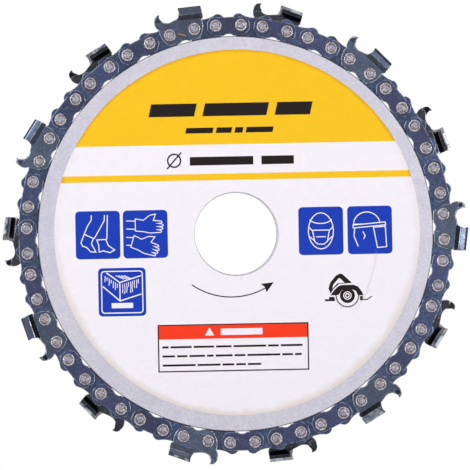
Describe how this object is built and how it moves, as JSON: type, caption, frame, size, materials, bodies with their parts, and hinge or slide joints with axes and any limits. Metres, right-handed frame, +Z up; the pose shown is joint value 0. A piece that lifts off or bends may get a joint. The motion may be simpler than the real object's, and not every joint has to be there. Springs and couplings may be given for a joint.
{
  "type": "angle grinder carving disc",
  "caption": "Wood carving disc for an angle grinder: a toothed saw chain riveted into a closed loop, held round the rim of two flat steel plates with a central bore.",
  "frame": {"origin": "centre of the bore, midway between the two plates", "axes": "+Y along the spindle axis out of the back of the disc, so the labelled front faces -Y; +Z up with the disc upright as it is pictured; +X to the right seen from the front"},
  "size_m": [0.1262, 0.0054, 0.1248],
  "materials": {
    "plate_steel": "satin",
    "spacer_steel": "satin",
    "plate_rivet_steel": "satin",
    "printed_label": "satin",
    "blued_drive_links": "satin",
    "blued_straps": "satin",
    "blued_cutters": "satin",
    "chain_rivet_steel": "satin"
  },
  "bodies": {
    "disc": {"front_plate": "plate_steel", "rear_plate": "plate_steel", "spacer_disc": "spacer_steel", "plate_rivets": "plate_rivet_steel", "label": "printed_label"},
    "chain": {"drive_link_01": "blued_drive_links", "drive_link_02": "blued_drive_links", "drive_link_03": "blued_drive_links", "drive_link_04": "blued_drive_links", "drive_link_05": "blued_drive_links", "drive_link_06": "blued_drive_links", "drive_link_07": "blued_drive_links", "drive_link_08": "blued_drive_links", "drive_link_09": "blued_drive_links", "drive_link_10": "blued_drive_links", "drive_link_11": "blued_drive_links", "drive_link_12": "blued_drive_links", "drive_link_13": "blued_drive_links", "drive_link_14": "blued_drive_links", "drive_link_15": "blued_drive_links", "drive_link_16": "blued_drive_links", "drive_link_17": "blued_drive_links", "drive_link_18": "blued_drive_links", "drive_link_19": "blued_drive_links", "drive_link_20": "blued_drive_links", "drive_link_21": "blued_drive_links", "drive_link_22": "blued_drive_links", "drive_link_23": "blued_drive_links", "drive_link_24": "blued_drive_links", "drive_link_25": "blued_drive_links", "drive_link_26": "blued_drive_links", "drive_link_27": "blued_drive_links", "drive_link_28": "blued_drive_links", "cutter_front_1": "blued_cutters", "cutter_front_2": "blued_cutters", "cutter_front_3": "blued_cutters", "cutter_front_4": "blued_cutters", "cutter_front_5": "blued_cutters", "cutter_front_6": "blued_cutters", "cutter_front_7": "blued_cutters", "cutter_rear_1": "blued_cutters", "cutter_rear_2": "blued_cutters", "cutter_rear_3": "blued_cutters", "cutter_rear_4": "blued_cutters", "cutter_rear_5": "blued_cutters", "cutter_rear_6": "blued_cutters", "cutter_rear_7": "blued_cutters", "tie_straps_front_plain": "blued_straps", "tie_straps_front_paired": "blued_straps", "tie_straps_rear_plain": "blued_straps", "tie_straps_rear_paired": "blued_straps", "chain_rivets": "chain_rivet_steel"}
  },
  "joints": [
    {"name": "chain_slip", "type": "hinge", "parent": "disc", "child": "chain", "pos_m": [0, 0, 0], "axis": [0, 1, 0], "continuous": true}
  ]
}
